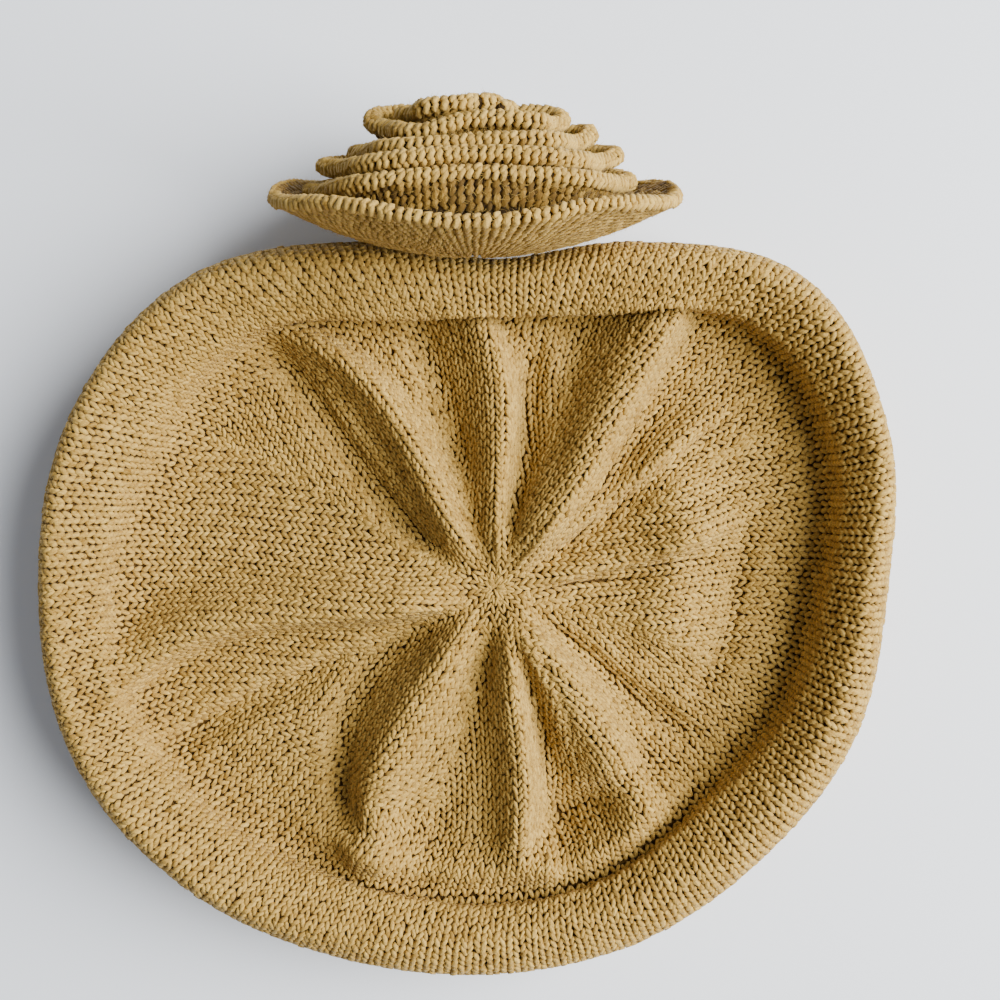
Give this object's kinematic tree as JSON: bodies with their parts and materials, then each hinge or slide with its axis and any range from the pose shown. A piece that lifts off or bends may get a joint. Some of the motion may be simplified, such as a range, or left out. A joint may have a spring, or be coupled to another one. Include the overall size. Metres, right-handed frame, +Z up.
{
  "type": "knitted beret with flower",
  "caption": "Soft stockinette beret lying crown up, its gathered crown sunk in radial pleats inside a rolled rim, with a knitted rose sewn to the side.",
  "frame": {"origin": "middle of the bounding box's bottom, on the surface that the hat lies on", "axes": "+Z up through the crown, +Y towards the side with the rose, +X to the wearer's side"},
  "size_m": [0.279, 0.2828, 0.1005],
  "materials": {
    "stockinette": "mustard acrylic and wool yarn, stockinette, softly fuzzy",
    "ribbing": "the same yarn in a close one-by-one rib",
    "rose_knit": "the same yarn in a firm doubled knit, fuzzy at its folds"
  },
  "bodies": {
    "root": {"crown": "stockinette", "brim_band": "ribbing", "flower_base": "rose_knit", "flower_ruffle": "rose_knit", "flower_heart": "rose_knit"}
  },
  "joints": []
}
